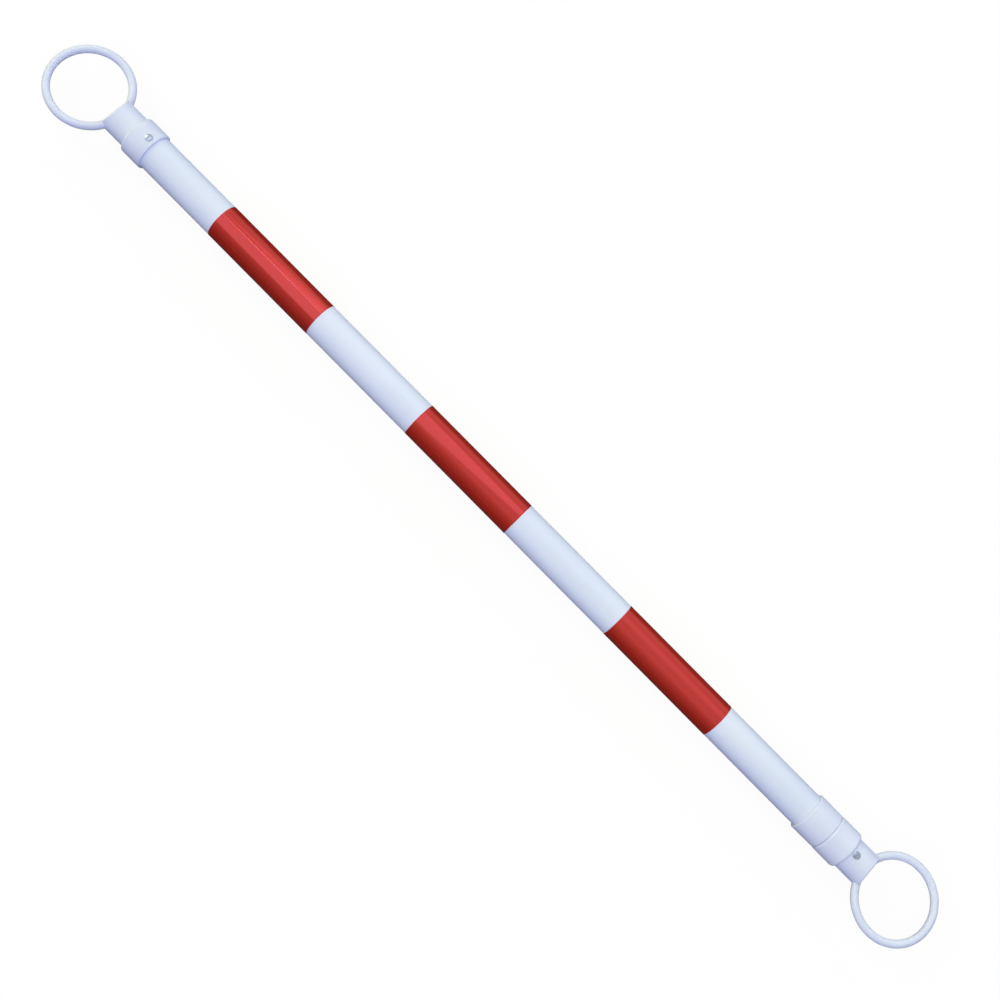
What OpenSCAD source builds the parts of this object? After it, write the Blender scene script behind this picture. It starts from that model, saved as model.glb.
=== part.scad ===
// Telescopic bar that hangs between two traffic cones. A striped outer tube and a plain inner tube
// slide in one another, and each carries a moulded ring end that drops over the tip of a cone.
// Millimetres. +X runs along the bar from the fixed ring to the sliding ring, +Z along the axes of
// the rings, and the bar lies on its collars at z = 0. The bar is drawn pushed fully home.

/* [Outer tube] */
// Outside diameter of the outer tube
outer_tube_d = 38; // [36:0.5:42]
// Wall of the outer tube
outer_tube_wall = 2; // [1.5:0.1:2.4]
// Length of the outer tube
outer_tube_len = 960; // [900:5:1200]

/* [Red bands] */
// White left between the fixed ring end and the first red band
first_white_len = 95.8; // [60:0.2:140]
// White left between the last red band and the mouth collar
last_white_len = 122.9; // [60:0.1:180]
// Thickness of the red film
band_film = 0.2; // [0.1:0.05:0.5]
// Gap at the butt seam of the film, on the underside
band_seam = 0.6; // [0.2:0.1:2]

/* [Ring ends] */
// Clear diameter of the ring
ring_hole_d = 75.4; // [60:0.2:90]
// Diameter of the round rod that the ring is made of
ring_rod_d = 8.3; // [7:0.1:12]
// Length of the narrow socket, from its closed end to the shoulder
socket_len = 24; // [20:0.5:40]
// Length of the wide collar, from the shoulder to its open end
collar_len = 26.6; // [20:0.2:40]
// Wall of the narrow socket round the inner tube
socket_wall = 2; // [1.6:0.1:3]
// Wall of the wide collar round the outer tube
collar_wall = 2.2; // [1.6:0.1:4]
// Closed end wall of the narrow socket
socket_end_wall = 5.2; // [4.6:0.2:8]
// Wall left behind the step that the outer tube seats on
seat_step_wall = 2.6; // [2:0.2:5]
// How far the closed end of the socket reaches past the middle of the ring's rod
socket_end_step = 0.9; // [0:0.1:2]
// Rounding of the closed end of the socket
socket_end_round = 2.2; // [0.5:0.1:3]
// Rounding of the open edge of the wide collar
collar_edge_round = 2.2; // [0.5:0.1:2.6]
// Degrees that the rounding of an open edge turns before it meets the end face
edge_turn = 55; // [40:1:65]

/* [Mouth collar] */
// Length of the mouth collar
mouth_len = 28.8; // [20:0.2:40]
// Wall of the mouth collar round the outer tube, at its thicker end
mouth_wall = 2.2; // [1.8:0.1:4]
// Draft of the mouth collar: how much its radius falls towards the mouth
mouth_draft = 0.3; // [0:0.05:0.6]
// Length of the lip that the outer tube butts against
mouth_lip_len = 3; // [2:0.2:6]
// Bevel on the edge that faces the outer tube
mouth_bevel = 1.1; // [0.3:0.1:1.4]
// Rounding of the edge at the mouth
mouth_round = 2.5; // [0.5:0.1:2.9]
// Lead-in chamfer inside the lip
mouth_lead = 0.8; // [0.3:0.1:1.4]

/* [Inner tube] */
// Radial gap between the two tubes
tube_gap = 1; // [0.7:0.1:2]
// Wall of the inner tube
inner_tube_wall = 2; // [1.2:0.1:3]

/* [Slide plug] */
// Length of the plug inside the inner tube
plug_spigot_len = 40; // [30:1:80]
// Length of the plug head, which runs in the outer tube
plug_head_len = 24; // [20:1:40]
// Empty length of outer tube behind the plug when the bar is home, which sets the travel
plug_home_room = 153; // [40:1:300]
// Distance between the two friction rings
groove_pitch = 11; // [8:0.5:13]
// Diameter of the hollow moulded into the head
plug_core_d = 16; // [8:0.5:18]
// Solid length left between the hollow and the end inside the inner tube
plug_web_len = 20; // [12:1:28]
// Chamfers on the plug
plug_chamfer = 1; // [0.5:0.1:2]
// Diameter of the cross pin
pin_d = 4; // [3:0.5:6]
// Depth of the pin's ends below the inner tube's surface
pin_recess = 0.3; // [0.1:0.1:1]

/* [Friction rings] */
// Diameter of a friction ring's cord
friction_cord_d = 2.6; // [2:0.1:3.5]

/* [Rivets] */
// Diameter of a rivet head
rivet_head_d = 7.6; // [6.4:0.2:9]
// Height of a rivet head
rivet_head_h = 1.5; // [1:0.1:2]
// Thin rim of a rivet head
rivet_rim_h = 0.4; // [0.2:0.1:0.8]
// Diameter of a rivet's shank
rivet_shank_d = 4; // [3.2:0.2:4.8]
// Diameter of the bulb on the blind side
rivet_bulb_d = 6.2; // [5:0.2:7.5]
// Length of the bulb on the blind side
rivet_bulb_len = 3; // [2:0.2:5]
// Diameter of a mandrel
mandrel_d = 2; // [1.6:0.1:2.6]
// Depth of the broken end of a mandrel below the top of the head
mandrel_recess = 0.3; // [0.2:0.1:1.2]
// Diameter of a mandrel's own head
mandrel_head_d = 3.4; // [2.8:0.1:4]
// Distance of the fixed rivet from the open end of its collar
fixed_rivet_inset = 7.6; // [5:0.2:16]
// Distance of the sliding rivet from the shoulder, towards the ring
sliding_rivet_offset = 4.6; // [4:0.2:9]
// Degrees that the sliding rivet is turned off the top, towards -Y
sliding_rivet_turn = 5; // [-15:1:15]

/* [Fits] */
// Radial gap of a cemented or pressed joint
seat_fit = 0.1; // [0.05:0.05:0.2]
// Radial gap of the friction rings
run_fit = 0.05; // [0.02:0.01:0.1]
// Radial gap between the lip of the mouth collar and the inner tube
lip_clear = 0.3; // [0.2:0.05:0.6]
// Radial gap between the plug head and the outer tube
plug_clear = 0.4; // [0.3:0.05:0.7]
// Gap beside a friction ring in its groove
groove_clear = 0.15; // [0.1:0.05:0.3]
// Gap under the film and under a rivet head
skin_fit = 0.02; // [0.01:0.01:0.05]
// Gap between the mouth collar and the sliding ring end when the bar is home
home_gap = 0.1; // [0.1:0.1:2]

/* [Hidden] */
$fn = 96;

// Length by which a cut runs past the surface that it opens
overrun = 1;

// Radii
outer_tube_r = outer_tube_d / 2;
outer_bore_r = outer_tube_r - outer_tube_wall;
inner_tube_r = outer_bore_r - tube_gap;
inner_bore_r = inner_tube_r - inner_tube_wall;
collar_bore_r = outer_tube_r + seat_fit;
collar_r = collar_bore_r + collar_wall;
socket_bore_r = inner_tube_r + seat_fit;
socket_r = socket_bore_r + socket_wall;
shoulder_r = collar_r - socket_r;
mouth_r = collar_bore_r + mouth_wall;
mouth_lip_r = inner_tube_r + lip_clear;
ring_r = (ring_hole_d + ring_rod_d) / 2;
hollow_r = ring_r - socket_end_step;
plug_head_r = outer_bore_r - plug_clear;
plug_spigot_r = inner_bore_r - seat_fit;
friction_r = outer_bore_r - run_fit - friction_cord_d / 2;
groove_floor_r = friction_r - friction_cord_d / 2 - run_fit;
groove_w = friction_cord_d + 2 * groove_clear;
plug_core_len = plug_head_len + plug_spigot_len - plug_web_len;
pin_inset = plug_spigot_len - plug_web_len / 2;
rivet_hole_d = rivet_shank_d + 2 * seat_fit;
rivet_core_d = mandrel_d + 2 * run_fit;

// Stations along the bar
ring_end_len = socket_len + collar_len;
tube_seat_len = collar_len - seat_step_wall;
ring_reach = 2 * ring_r + ring_rod_d / 2;
span_len = outer_tube_len - tube_seat_len + mouth_lip_len;
total_len = 2 * (ring_reach + ring_end_len) + span_len + home_gap;
fixed_end_x = ring_reach - total_len / 2;
fixed_open_x = fixed_end_x + ring_end_len;
outer_tube_x = fixed_open_x - tube_seat_len;
mouth_face_x = fixed_open_x + span_len;
sliding_end_x = total_len / 2 - ring_reach;
inner_tube_x = outer_tube_x + plug_home_room + plug_head_len;
inner_tube_len = sliding_end_x - socket_end_wall - inner_tube_x;
fixed_rivet_x = ring_end_len - fixed_rivet_inset;
sliding_rivet_x = socket_len - sliding_rivet_offset;
axis_z = max(collar_r, mouth_r);

// Red and white stripes of equal length fill the outer tube between the first white and the last
band_count = 3;
stripe_len = (span_len - mouth_len - first_white_len - last_white_len) / (2 * band_count - 1);

// Fall of a round surface across half the width of a flat that meets it
function sagitta(radius, width) = radius - sqrt(pow(radius, 2) - pow(width / 2, 2));

// Length of a rivet from its head to its bulb, through a wall and a tube whose bore the bulb bears on
function rivet_grip(wall, tube_wall, bore_r) =
    wall + seat_fit + tube_wall + sagitta(bore_r, rivet_bulb_d) + 2 * skin_fit;
fixed_grip = rivet_grip(collar_wall, outer_tube_wall, outer_bore_r);
sliding_grip = rivet_grip(socket_wall, inner_tube_wall, inner_bore_r);

// Puts a shape that is drawn along X, round the origin, on the axis of the bar
module at_station(x) {
    translate([x, 0, axis_z])
        children();
}

// Turns a profile, drawn as radius against distance, round the axis of the bar
module turned() {
    rotate([0, 90, 0])
        rotate_extrude()
            children();
}

// A round bar along X
module rod(x, length, radius) {
    translate([x, 0, 0])
        rotate([0, 90, 0])
            cylinder(h = length, r = radius);
}

// What is cut from the outer corner of a profile to round it; side is 1 for its far corner
// and -1 for its near one. A turn of less than 90 degrees meets the end face at an angle.
module corner_cut(radius, distance, rounding, side, turn = 90) {
    reach = rounding + overrun;
    translate([radius - rounding, distance - side * rounding * sin(turn)])
        difference() {
            translate([0, side > 0 ? 0 : -reach])
                square(reach);
            circle(r = rounding);
        }
}

// Outline of the narrow socket, the quarter-round shoulder and the wide collar; the socket is drawn
// long enough to be hollowed out round the ring
module ring_end_profile() {
    shoulder_top = socket_len + shoulder_r;
    tail = socket_end_step + sagitta(hollow_r, 2 * socket_r) + overrun;
    difference() {
        union() {
            translate([0, -tail])
                square([socket_r, shoulder_top + tail]);
            translate([socket_r, shoulder_top])
                circle(r = shoulder_r);
            translate([0, shoulder_top])
                square([collar_r, ring_end_len - shoulder_top]);
        }
        corner_cut(collar_r, ring_end_len, collar_edge_round, 1, edge_turn);
    }
}

// Rounds the upper half of the edge round the hollow end of the socket. That edge is close to a
// circle on a plane that leans out, so the cut turns round an axis with the same lean.
module hollow_edge_cut() {
    side = 0.88 * socket_r;
    back = sagitta(hollow_r, 2 * side);
    fall = sagitta(socket_r, 2 * side);
    lean = atan(back / fall);
    chord = norm([back, fall]);
    edge_r = (pow(chord, 2) + pow(side, 2)) / (2 * chord);
    translate([-socket_end_step - edge_r * sin(lean), 0, socket_r - edge_r * cos(lean)])
        rotate([0, lean, 0])
            turned()
                translate([edge_r, 0])
                    rotate(-lean)
                        corner_cut(0, 0, socket_end_round, -1);
}

// A hole for a rivet, through the top wall
module rivet_hole(x, turn = 0) {
    translate([x, 0, 0])
        rotate([turn, 0, 0])
            cylinder(h = collar_r + overrun, d = rivet_hole_d);
}

// The moulding, with the closed end of its socket at x = 0 and its ring on the -X side
module ring_end(rivet_x, rivet_turn = 0) {
    seat_x = ring_end_len - tube_seat_len;
    difference() {
        union() {
            difference() {
                turned()
                    ring_end_profile();
                translate([-ring_r, 0, 0])
                    cylinder(h = 2 * (socket_r + overrun), r = hollow_r, center = true);
                hollow_edge_cut();
                mirror([0, 0, 1])
                    hollow_edge_cut();
            }
            translate([-ring_r, 0, 0])
                rotate_extrude()
                    translate([ring_r, 0])
                        circle(d = ring_rod_d);
        }
        rod(socket_end_wall, ring_end_len, socket_bore_r);
        rod(seat_x, ring_end_len, collar_bore_r);
        rivet_hole(rivet_x, rivet_turn);
    }
}

// Blind rivet, standing on z = 0 through a wall of the thickness grip
module blind_rivet(grip) {
    dome_h = rivet_head_h - rivet_rim_h;
    dome_r = (pow(rivet_head_d / 2, 2) + pow(dome_h, 2)) / (2 * dome_h);
    difference() {
        union() {
            cylinder(h = rivet_rim_h, d = rivet_head_d);
            intersection() {
                translate([0, 0, rivet_head_h - dome_r])
                    sphere(r = dome_r);
                translate([0, 0, rivet_rim_h])
                    cylinder(h = dome_h, d = rivet_head_d);
            }
            translate([0, 0, -grip - rivet_bulb_len])
                cylinder(h = grip + rivet_bulb_len, d = rivet_shank_d);
            translate([0, 0, -grip - rivet_bulb_len])
                cylinder(h = rivet_bulb_len, d1 = rivet_shank_d, d2 = rivet_bulb_d);
        }
        translate([0, 0, -grip - rivet_bulb_len - overrun])
            cylinder(h = grip + rivet_bulb_len + rivet_head_h + 2 * overrun, d = rivet_core_d);
    }
}

// The stem that stays in a blind rivet, with the head that set it
module rivet_mandrel(grip) {
    stem_len = grip + rivet_bulb_len + rivet_head_h - mandrel_recess;
    foot_z = -grip - rivet_bulb_len;
    translate([0, 0, foot_z])
        cylinder(h = stem_len, d = mandrel_d);
    translate([0, 0, foot_z])
        mirror([0, 0, 1])
            cylinder(h = mandrel_head_d / 2, d1 = mandrel_head_d, d2 = mandrel_d);
}

module outer_tube() {
    color("aliceblue")
        at_station(outer_tube_x)
            difference() {
                rod(0, outer_tube_len, outer_tube_r);
                rod(-overrun, outer_tube_len + 2 * overrun, outer_bore_r);
                rivet_hole(fixed_end_x + fixed_rivet_x - outer_tube_x);
            }
}

// One wrap of film, counted from the fixed ring end, with its seam on the underside
module red_band(index) {
    seam_angle = band_seam / outer_tube_r * 180 / PI;
    color("crimson")
        at_station(fixed_open_x + first_white_len + (index - 1) * 2 * stripe_len)
            rotate([0, 90, 0])
                rotate_extrude(angle = 360 - seam_angle, start = seam_angle / 2)
                    translate([outer_tube_r + skin_fit, 0])
                        square([band_film, stripe_len]);
}

module fixed_ring_end() {
    color("aliceblue")
        at_station(fixed_end_x)
            ring_end(fixed_rivet_x);
}

module sliding_ring_end() {
    color("aliceblue")
        at_station(sliding_end_x)
            rotate([0, 0, 180])
                ring_end(sliding_rivet_x, -sliding_rivet_turn);
}

// Puts a rivet on the outside of a ring end's wall
module at_fixed_rivet() {
    translate([fixed_end_x + fixed_rivet_x, 0, axis_z + collar_r + skin_fit])
        children();
}

module at_sliding_rivet() {
    at_station(sliding_end_x - sliding_rivet_x)
        rotate([sliding_rivet_turn, 0, 0])
            translate([0, 0, socket_r + skin_fit])
                children();
}

module fixed_rivet() {
    color("silver")
        at_fixed_rivet()
            blind_rivet(fixed_grip);
}

module fixed_rivet_mandrel() {
    color("dimgray")
        at_fixed_rivet()
            rivet_mandrel(fixed_grip);
}

module sliding_rivet() {
    color("silver")
        at_sliding_rivet()
            blind_rivet(sliding_grip);
}

module sliding_rivet_mandrel() {
    color("dimgray")
        at_sliding_rivet()
            rivet_mandrel(sliding_grip);
}

// Collar on the open end of the outer tube; its lip guides the inner tube and stops the plug
module mouth_collar() {
    lip_x = mouth_len - mouth_lip_len;
    lead_len = mouth_lead + overrun;
    color("aliceblue")
        at_station(mouth_face_x - mouth_len)
            difference() {
                turned()
                    difference() {
                        polygon([
                            [0, 0], [mouth_r - mouth_bevel, 0], [mouth_r, mouth_bevel],
                            [mouth_r - mouth_draft, mouth_len - mouth_round],
                            [mouth_r - mouth_draft, mouth_len], [0, mouth_len]
                        ]);
                        corner_cut(mouth_r - mouth_draft, mouth_len, mouth_round, 1, edge_turn);
                    }
                rod(-overrun, lip_x + overrun, collar_bore_r);
                rod(0, mouth_len + overrun, mouth_lip_r);
                translate([mouth_len - mouth_lead, 0, 0])
                    rotate([0, 90, 0])
                        cylinder(h = lead_len, r1 = mouth_lip_r, r2 = mouth_lip_r + lead_len);
            }
}

// The hole for the cross pin, from side to side
module pin_hole() {
    translate([pin_inset, 0, 0])
        rotate([90, 0, 0])
            cylinder(h = 2 * (inner_tube_r + overrun), d = pin_d + 2 * seat_fit, center = true);
}

module inner_tube() {
    color("ghostwhite")
        at_station(inner_tube_x)
            difference() {
                rod(0, inner_tube_len, inner_tube_r);
                rod(-overrun, inner_tube_len + 2 * overrun, inner_bore_r);
                rivet_hole(sliding_end_x - sliding_rivet_x - inner_tube_x, sliding_rivet_turn);
                pin_hole();
            }
}

// Distance from the inner tube's end to the middle of a friction ring, on the head of the plug
function groove_x(index) = -plug_head_len / 2 + (index - 3 / 2) * groove_pitch;

// Groove for one friction ring
module ring_groove(index) {
    translate([groove_x(index) - groove_w / 2, 0, 0])
        difference() {
            rod(0, groove_w, plug_head_r + overrun);
            rod(-overrun, groove_w + 2 * overrun, groove_floor_r);
        }
}

// Plug with a spigot inside the inner tube and a grooved head outside it
module slide_plug() {
    color("slategray")
        at_station(inner_tube_x)
            difference() {
                union() {
                    turned()
                        translate([0, -plug_head_len])
                            polygon([
                                [0, 0], [plug_head_r - plug_chamfer, 0], [plug_head_r, plug_chamfer],
                                [plug_head_r, plug_head_len], [0, plug_head_len]
                            ]);
                    turned()
                        polygon([
                            [0, 0], [plug_spigot_r, 0], [plug_spigot_r, plug_spigot_len - plug_chamfer],
                            [plug_spigot_r - plug_chamfer, plug_spigot_len], [0, plug_spigot_len]
                        ]);
                }
                for (index = [1, 2])
                    ring_groove(index);
                rod(-plug_head_len - overrun, plug_core_len + overrun, plug_core_d / 2);
                pin_hole();
            }
}

module plug_pin() {
    color("gray")
        at_station(inner_tube_x + pin_inset)
            rotate([90, 0, 0])
                cylinder(h = 2 * (inner_tube_r - pin_recess), d = pin_d, center = true);
}

module friction_ring(index) {
    color("black")
        at_station(inner_tube_x + groove_x(index))
            turned()
                translate([friction_r, 0])
                    circle(d = friction_cord_d);
}

outer_tube();
red_band(1);  // red_band_1
red_band(2);  // red_band_2
red_band(3);  // red_band_3
fixed_ring_end();
fixed_rivet();
fixed_rivet_mandrel();
mouth_collar();
inner_tube();
sliding_ring_end();
sliding_rivet();
sliding_rivet_mandrel();
slide_plug();
plug_pin();
friction_ring(1);  // friction_ring_1
friction_ring(2);  // friction_ring_2
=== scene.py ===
import math

import bmesh
import bpy
from mathutils import Matrix, Vector


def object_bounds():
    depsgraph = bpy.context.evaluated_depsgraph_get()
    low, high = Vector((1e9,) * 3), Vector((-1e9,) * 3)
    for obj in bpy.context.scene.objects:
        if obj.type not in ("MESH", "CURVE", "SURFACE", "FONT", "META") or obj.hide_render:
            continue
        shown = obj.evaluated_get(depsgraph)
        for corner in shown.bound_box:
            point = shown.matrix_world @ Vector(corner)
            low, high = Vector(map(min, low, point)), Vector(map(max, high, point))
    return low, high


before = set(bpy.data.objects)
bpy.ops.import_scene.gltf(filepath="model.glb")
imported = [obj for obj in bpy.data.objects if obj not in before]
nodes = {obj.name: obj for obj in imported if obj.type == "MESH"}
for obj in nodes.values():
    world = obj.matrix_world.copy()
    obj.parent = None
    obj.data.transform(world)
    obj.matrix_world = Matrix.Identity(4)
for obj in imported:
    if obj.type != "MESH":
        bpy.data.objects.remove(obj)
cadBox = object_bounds()
scene = bpy.context.scene
print("frame loaded with", len(nodes), "nodes")


# a node's socket that can stand in a sum
class Wire:
    def __init__(self, tree, socket=None):
        self.tree = tree
        self.socket = socket

    # makes any node: settings first, then values or wires for its sockets
    def node(self, kind, sockets=None, output=0, **settings):
        made = self.tree.nodes.new(kind)
        for name, value in settings.items():
            if name == "stops":
                self.setStops(made.color_ramp, value)
            else:
                setattr(made, name, value)
        for name, value in (sockets or {}).items():
            socket = self.pick(made.inputs, name)
            if isinstance(value, Wire):
                self.tree.links.new(value.socket, socket)
            else:
                socket.default_value = value
        return Wire(self.tree, self.pick(made.outputs, output)) if made.outputs else None

    @staticmethod
    def pick(sockets, name):
        if isinstance(name, int):
            return sockets[name]
        return next(s for s in sockets if name in (s.identifier, s.name))

    @staticmethod
    def setStops(ramp, stops):
        while len(ramp.elements) < len(stops):
            ramp.elements.new(1.0)
        for element, (place, colour) in zip(ramp.elements, stops):
            element.position = place
            element.color = colour

    def math(self, operation, *values):
        return self.node("ShaderNodeMath", dict(enumerate(values)), operation=operation)

    def __add__(self, other):
        return self.math("ADD", self, other)

    def __radd__(self, other):
        return self.math("ADD", other, self)

    def __mul__(self, other):
        return self.math("MULTIPLY", self, other)

    def __rmul__(self, other):
        return self.math("MULTIPLY", other, self)

    # 0 below low, 1 above high, smooth between
    def step(self, low, high):
        return self.node("ShaderNodeMapRange", {"Value": self, "From Min": low, "From Max": high},
                         interpolation_type="SMOOTHSTEP")

    # this wire is the share of the second colour
    def mix(self, first, second):
        return self.node("ShaderNodeMix", {"Factor_Float": self, "A_Color": first, "B_Color": second},
                         "Result_Color", data_type="RGBA")

    # noise on this place, which repeats so often in a metre along x, y and z
    def noise(self, repeats, detail, roughness=0.5):
        place = self.node("ShaderNodeMapping", {"Vector": self, "Scale": repeats})
        return self.node("ShaderNodeTexNoise", {"Vector": place, "Scale": 1.0, "Detail": detail,
                                                "Roughness": roughness})

    # this wire is a height in metres
    def bump(self):
        return self.node("ShaderNodeBump", {"Height": self, "Strength": 1.0, "Distance": 1.0})


# a colour as it is read off a screen, 0 to 255, by the sRGB curve
def screen(red, green, blue):
    def linear(value):
        share = value / 255
        return share / 12.92 if share <= 0.04045 else ((share + 0.055) / 1.055) ** 2.4
    return (linear(red), linear(green), linear(blue), 1.0)


# a share of a colour's light
def dimmed(colour, share):
    return tuple(share * part for part in colour[:3]) + (1.0,)


def newMaterial(name):
    material = bpy.data.materials.new(name)
    material.use_nodes = True
    material.node_tree.nodes.clear()
    start = Wire(material.node_tree)
    place = start.node("ShaderNodeTexCoord", output="Object")
    return material, start, place


def close(start, shader):
    start.node("ShaderNodeOutputMaterial", {"Surface": shader})


# 1 for the rays that show the background, in the picture or mirrored in the part
def backgroundRays(start):
    seen, mirrored, through = (start.node("ShaderNodeLightPath", output=name)
                               for name in ("Is Camera Ray", "Is Glossy Ray", "Is Transmission Ray"))
    return start.math("MAXIMUM", start.math("MAXIMUM", seen, mirrored), through)


cameraSet = {
    "place": Vector((0.0521, -0.4535, 1.4475)),
    "aim": Vector((0.01536, 0.00103, 0.0213)),
    "roll": 45.252,  # degrees, the bar runs from upper left to lower right
    "lens": 54.87,
    "reach": 60,  # metres, past the far edge of the floor
}


def addCamera():
    camera = bpy.data.cameras.new("photoCamera")
    camera.lens = cameraSet["lens"]
    camera.clip_end = cameraSet["reach"]
    rig = bpy.data.objects.new("photoCamera", camera)
    scene.collection.objects.link(rig)
    back = (cameraSet["place"] - cameraSet["aim"]).normalized()
    right = (Vector((1, 0, 0)) - back * back.x).normalized()
    turn = Matrix((right, back.cross(right), back)).transposed().to_4x4()
    turn = turn @ Matrix.Rotation(math.radians(cameraSet["roll"]), 4, "Z")
    rig.matrix_world = Matrix.Translation(cameraSet["place"]) @ turn
    scene.camera = rig


addCamera()
print("camera set")


# drawn plastic, the same for both tubes; edges are where a pattern starts and is full
tubeSet = {
    "cloud": (4, 18, 18),
    "cloudEdges": (0.35, 0.7),
    "cloudDulls": 0.05,
    "lines": (1.5, 420, 420),  # fine drawing lines along the tube
    "scuff": (5, 500, 500),
    "scuffEdges": (0.56, 0.72),
    "scuffDulls": 0.10,
    "specular": 0.35,
}

outerTubeSet = {
    "colour": screen(222, 232, 246),
    "shade": screen(214, 225, 243),
    "scuffed": screen(214, 225, 243),
    "scuffShare": 0.3,
    "roughness": 0.42,
    "lineDepth": 0.000012,
}

# the inner tube carries the marks of the lip that it slides through
innerTubeSet = {
    "colour": screen(220, 229, 243),
    "shade": screen(213, 223, 240),
    "scuffed": screen(196, 204, 218),
    "scuffShare": 0.55,
    "roughness": 0.36,
    "lineDepth": 0.000018,
}


def tubeFinish(name, settings):
    material, start, place = newMaterial(name)
    cloud = place.noise(tubeSet["cloud"], detail=3)
    lines = place.noise(tubeSet["lines"], detail=3)
    scuff = place.noise(tubeSet["scuff"], detail=4, roughness=0.65).step(*tubeSet["scuffEdges"])
    colour = cloud.step(*tubeSet["cloudEdges"]).mix(settings["colour"], settings["shade"])
    dulled = settings["roughness"] + tubeSet["scuffDulls"] * scuff + tubeSet["cloudDulls"] * cloud
    close(start, start.node("ShaderNodeBsdfPrincipled", {
        "Base Color": (settings["scuffShare"] * scuff).mix(colour, settings["scuffed"]),
        "Roughness": dulled,
        "Specular IOR Level": tubeSet["specular"],
        "Normal": (settings["lineDepth"] * lines).bump(),
    }))
    return material


mouldingSet = {
    "colour": screen(220, 229, 245),
    "shade": screen(214, 223, 243),
    "roughness": 0.43,
    "cloud": (22, 22, 22),
    "cloudEdges": (0.35, 0.7),
    "cloudDulls": 0.08,
    "grain": (1600, 1600, 1600),
    "grainDulls": 0.05,
    "specular": 0.35,
}


def mouldingFinish():
    material, start, place = newMaterial("whiteMoulding")
    cloud = place.noise(mouldingSet["cloud"], detail=3)
    grain = place.noise(mouldingSet["grain"], detail=2)
    dulled = mouldingSet["roughness"] + mouldingSet["cloudDulls"] * cloud + mouldingSet["grainDulls"] * grain
    close(start, start.node("ShaderNodeBsdfPrincipled", {
        "Base Color": cloud.step(*mouldingSet["cloudEdges"]).mix(mouldingSet["colour"], mouldingSet["shade"]),
        "Roughness": dulled,
        "Specular IOR Level": mouldingSet["specular"],
    }))
    return material


filmSet = {
    "colour": screen(196, 48, 35),
    "deep": screen(191, 45, 32),
    "roughness": 0.12,
    "cloud": (5, 40, 40),
    "cloudEdges": (0.35, 0.7),
    "cloudDulls": 0.05,
    "ripple": (3.5, 130, 130),
    "rippleDepth": 0.00003,
    "metal": 0.38,
    "specular": 0.1,
    "coat": 0.6,
    "coatRoughness": 0.03,
}


def filmFinish():
    material, start, place = newMaterial("redFilm")
    cloud = place.noise(filmSet["cloud"], detail=2)
    ripple = place.noise(filmSet["ripple"], detail=1.5)
    close(start, start.node("ShaderNodeBsdfPrincipled", {
        "Base Color": cloud.step(*filmSet["cloudEdges"]).mix(filmSet["colour"], filmSet["deep"]),
        "Metallic": filmSet["metal"],
        "Roughness": filmSet["roughness"] + filmSet["cloudDulls"] * cloud,
        "Specular IOR Level": filmSet["specular"],
        "Coat Weight": filmSet["coat"],
        "Coat Roughness": filmSet["coatRoughness"],
        "Normal": (filmSet["rippleDepth"] * ripple).bump(),
    }))
    return material


metalSet = {
    "rivet": screen(172, 186, 190),
    "stem": screen(166, 180, 185),
    "darkShare": 0.9,
    "blotch": (260, 260, 260),
    "blotchEdges": (0.35, 0.75),
    "roughness": 0.21,
    "grain": (900, 900, 900),
    "grainDulls": 0.14,
    "grainDepth": 0.00001,
}


def metalFinish(name, tint):
    material, start, place = newMaterial(name)
    grain = place.noise(metalSet["grain"], detail=4)
    blotch = place.noise(metalSet["blotch"], detail=2).step(*metalSet["blotchEdges"])
    close(start, start.node("ShaderNodeBsdfPrincipled", {
        "Base Color": blotch.mix(tint, dimmed(tint, metalSet["darkShare"])),
        "Metallic": 1.0,
        "Roughness": metalSet["roughness"] + metalSet["grainDulls"] * grain,
        "Normal": (metalSet["grainDepth"] * grain).bump(),
    }))
    return material


# the plug and its rubber rings, inside the tubes
hiddenSet = {
    "plug": {"colour": screen(112, 122, 134), "roughness": 0.5},
    "rubber": {"colour": screen(26, 26, 28), "roughness": 0.7},
    "darkShare": 0.8,
    "grain": (700, 700, 700),
    "grainEdges": (0.3, 0.7),
    "grainDulls": 0.1,
    "grainDepth": 0.00002,
}


def hiddenFinish(name, settings):
    material, start, place = newMaterial(name)
    grain = place.noise(hiddenSet["grain"], detail=3)
    dark = dimmed(settings["colour"], hiddenSet["darkShare"])
    close(start, start.node("ShaderNodeBsdfPrincipled", {
        "Base Color": grain.step(*hiddenSet["grainEdges"]).mix(settings["colour"], dark),
        "Roughness": settings["roughness"] + hiddenSet["grainDulls"] * grain,
        "Normal": (hiddenSet["grainDepth"] * grain).bump(),
    }))
    return material


def paint(material, *names):
    for name in names:
        for slot in nodes[name].material_slots:
            slot.material = material


paint(tubeFinish("outerTube", outerTubeSet), "outer_tube")
paint(tubeFinish("innerTube", innerTubeSet), "inner_tube")
paint(mouldingFinish(), "fixed_ring_end", "sliding_ring_end", "mouth_collar")
paint(filmFinish(), "red_band_1", "red_band_2", "red_band_3")
paint(metalFinish("rivetMetal", metalSet["rivet"]), "fixed_rivet", "sliding_rivet")
paint(metalFinish("stemSteel", metalSet["stem"]),
      "fixed_rivet_mandrel", "sliding_rivet_mandrel", "plug_pin")
paint(hiddenFinish("plugPlastic", hiddenSet["plug"]), "slide_plug")
paint(hiddenFinish("frictionRubber", hiddenSet["rubber"]), "friction_ring_1", "friction_ring_2")
print("finishes painted")


floorSet = {
    "size": 30.0,
    "drop": 0.0002,  # metres below the part, so that no two faces lie in one plane
    "white": (1.0, 1.0, 1.0, 1.0),
    "bounce": (0.06, 0.06, 0.065, 1.0),  # what the part's underside gets back
    "glow": 0.94,  # the rest shows the part's shadow
    "fade": (1.6, 4.0),  # metres from the middle over which the floor turns plain white
}


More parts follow.
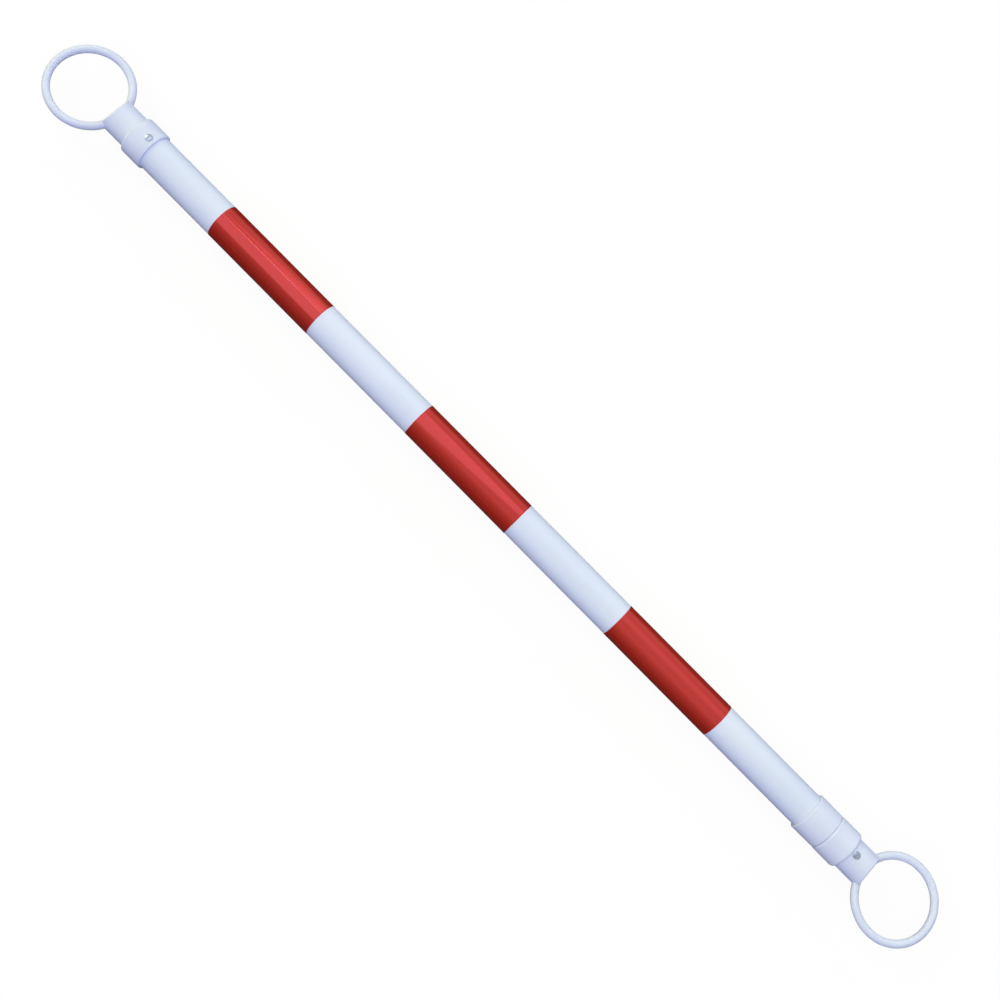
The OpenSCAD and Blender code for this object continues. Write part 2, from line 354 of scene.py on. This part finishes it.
def floorFinish():
    material, start, place = newMaterial("paperFloor")
    seen = backgroundRays(start)
    distance = start.node("ShaderNodeVectorMath", {0: place}, "Value", operation="LENGTH")
    share = floorSet["glow"] + (1.0 - floorSet["glow"]) * distance.step(*floorSet["fade"])
    colour = seen.mix(floorSet["bounce"], floorSet["white"])
    paper = start.node("ShaderNodeBsdfDiffuse", {"Color": colour})
    glow = start.node("ShaderNodeEmission", {"Color": floorSet["white"], "Strength": 1.0})
    close(start, start.node("ShaderNodeMixShader", {0: seen * share, 1: paper, 2: glow}))
    return material


# a square metre, set out by the matrix
def addSheet(name, matrix, material):
    mesh = bpy.data.meshes.new(name)
    shape = bmesh.new()
    bmesh.ops.create_grid(shape, x_segments=1, y_segments=1, size=0.5, matrix=matrix)
    shape.to_mesh(mesh)
    shape.free()
    mesh.materials.append(material)
    sheet = bpy.data.objects.new(name, mesh)
    scene.collection.objects.link(sheet)
    return sheet


floorPlace = Matrix.Translation((0, 0, cadBox[0][2] - floorSet["drop"]))
addSheet("paperFloor", floorPlace @ Matrix.Scale(floorSet["size"], 4), floorFinish())
print("floor laid")


# cards that glow on their own and that only reflections see, set as a photographer sets cards, so that gloss
# keeps its dark edges;
# their glow is a painted reflection of a studio around the part; tones are heights above the floor and how
# brightly the card glows there
cardSet = {
    "cardUnder": {"place": (0.0, 0.15, -0.0001), "size": (2.2, 2.1), "turn": (0, 0, 0),
                  "tint": (1.0, 1.0, 1.0), "tones": ((0.0, 0.03), (0.1, 0.03))},
    "cardFront": {"place": (0.0, -2.4, 2.0), "size": (6.0, 4.2), "turn": (90, 0, 0),
                  "tint": (1.0, 1.02, 1.1),
                  "tones": ((0.0, 0.06), (0.9, 0.25), (1.9, 0.41), (2.25, 0.48), (2.6, 0.66), (4.1, 0.72))},
    "cardBack": {"place": (0.0, 1.2, 0.0), "size": (2.6, 1.24), "turn": (90, 0, 0),
                 "tint": (1.0, 1.0, 1.1),
                 "tones": ((0.0, 0.20), (0.24, 0.42), (0.32, 0.72), (0.62, 0.76))},
    "cardTop": {"place": (0.0, 3.0, 4.1), "size": (7.0, 10.8), "turn": (0, 0, 0),
                "tint": (1.0, 1.0, 1.2), "tones": ((0.0, 0.74), (4.1, 0.74))},
    "cardRight": {"place": (1.10, 0.0, 0.0), "size": (2.1, 0.9), "turn": (90, 0, 90),
                  "tint": (1.0, 1.02, 1.1), "tones": ((0.0, 0.3), (0.45, 0.75))},
}


def cardFinish(name, settings):
    material, start, place = newMaterial(name)
    top = settings["tones"][-1][0]
    stops = [(level / top, dimmed(settings["tint"], tone)) for level, tone in settings["tones"]]
    height = start.node("ShaderNodeSeparateXYZ", {"Vector": place}, "Z")
    tone = start.node("ShaderNodeValToRGB", {"Fac": (1 / top) * height}, "Color", stops=stops)
    # the card's own glow, a painted reflection that only glossy rays see
    close(start, start.node("ShaderNodeEmission", {"Color": tone, "Strength": 1.0}))
    material.cycles.emission_sampling = "NONE"  # only mirrored, so the lamps get all the light samples
    return material


def addCard(name, settings):
    x, y, z = (math.radians(angle) for angle in settings["turn"])
    turn = Matrix.Rotation(z, 4, "Z") @ Matrix.Rotation(y, 4, "Y") @ Matrix.Rotation(x, 4, "X")
    scale = Matrix.Diagonal((*settings["size"], 1, 1))
    matrix = Matrix.Translation(settings["place"]) @ turn @ scale
    card = addSheet(name, matrix, cardFinish(name, settings))
    card.visible_camera = False
    card.visible_diffuse = False
    card.visible_shadow = False
    card.visible_transmission = False


for cardName, cardValues in cardSet.items():
    addCard(cardName, cardValues)
print("cards set")


# radiance is the brightness of the lamp's face, and 1 lights a colour about as it is written;
# a lamp without an aim points straight down
barMiddle = (0.0, 0.0, 0.02)
lampSet = {
    "key": {"place": (-2.4, 0.1, 2.2), "aim": barMiddle, "size": (2.0, 2.0),
            "radiance": 1.4, "colour": (0.94, 1.0, 0.12), "lights": "diffuse"},
    "keyLow": {"place": (-2.8, 0.1, 1.3), "aim": barMiddle, "size": (1.6, 1.6),
               "radiance": 4.0, "colour": (1.0, 0.94, 0.62), "lights": "diffuse"},
    "glint": {"place": (-2.6, -0.1, 0.95), "aim": barMiddle, "size": (1.8, 1.5),
              "radiance": 2.4, "colour": (1.0, 1.0, 0.95), "lights": "glossy"},
    "topRight": {"place": (0.60, 0.50, 1.25), "size": (1.0, 3.0),
                 "radiance": 0.88, "colour": (1.0, 0.97, 0.31), "lights": "diffuse"},
    "right": {"place": (2.6, 0.0, 0.9), "aim": barMiddle, "size": (1.6, 1.2),
              "radiance": 1.4, "colour": (0.38, 0.47, 1.0), "lights": "diffuse"},
    "front": {"place": (0.0, -1.45, 1.55), "aim": barMiddle, "size": (3.0, 1.6),
              "radiance": 2.78, "colour": (0.68, 0.68, 1.0), "lights": "diffuse"},
    "back": {"place": (0.0, 2.2, 0.8), "aim": barMiddle, "size": (3.0, 1.2),
             "radiance": 4.0, "colour": (0.65, 0.67, 1.0), "lights": "diffuse"},
    "sheen": {"place": (-0.40, -0.04, 1.10), "size": (0.74, 1.98), "turn": -16.7,
              "radiance": 1.1, "colour": (0.68, 0.64, 1.0), "lights": "glossy"},
    "sheenBack": {"place": (-0.55, 1.51, 1.11), "size": (0.40, 1.78),
                  "radiance": 0.85, "colour": (1.0, 0.6, 0.6), "lights": "glossy"},
    "sheenRight": {"place": (0.42, 0.50, 1.12), "size": (0.50, 0.70),
                   "radiance": 0.34, "colour": (0.9, 0.8, 1.0), "lights": "glossy"},
    "streak": {"place": (-1.25, 0.33, 1.05), "size": (1.9, 0.05),
               "radiance": 3.0, "colour": (0.85, 0.97, 1.0), "lights": "glossy"},
}


def addLamp(name, settings):
    lamp = bpy.data.lights.new(name, "AREA")
    lamp.shape = "RECTANGLE"
    lamp.size, lamp.size_y = settings["size"]
    lamp.energy = settings["radiance"] * math.pi * lamp.size * lamp.size_y
    lamp.color = settings["colour"]
    rig = bpy.data.objects.new(name, lamp)
    scene.collection.objects.link(rig)
    place = Vector(settings["place"])
    way = Vector(settings["aim"]) - place if "aim" in settings else Vector((0, 0, -1))
    turn = way.to_track_quat("-Z", "Y").to_matrix().to_4x4()
    turn = turn @ Matrix.Rotation(math.radians(settings.get("turn", 0.0)), 4, "Z")
    rig.matrix_world = Matrix.Translation(place) @ turn
    rig.visible_camera = False
    rig.visible_glossy = settings["lights"] == "glossy"
    rig.visible_diffuse = settings["lights"] == "diffuse"


for lampName, lampValues in lampSet.items():
    addLamp(lampName, lampValues)
print("lamps hung")


# the sky is as white as the floor where it shows, and lights the part only a little
worldSet = {"ambient": (0.08, 0.085, 0.10, 1.0)}


def addWorld():
    world = bpy.data.worlds.new("studio")
    scene.world = world
    world.use_nodes = True
    world.node_tree.nodes.clear()
    start = Wire(world.node_tree)
    sky = backgroundRays(start).mix(worldSet["ambient"], floorSet["white"])
    shader = start.node("ShaderNodeBackground", {"Color": sky, "Strength": 1.0})
    start.node("ShaderNodeOutputWorld", {"Surface": shader})


addWorld()
scene.view_settings.view_transform = "Standard"
print("world set")
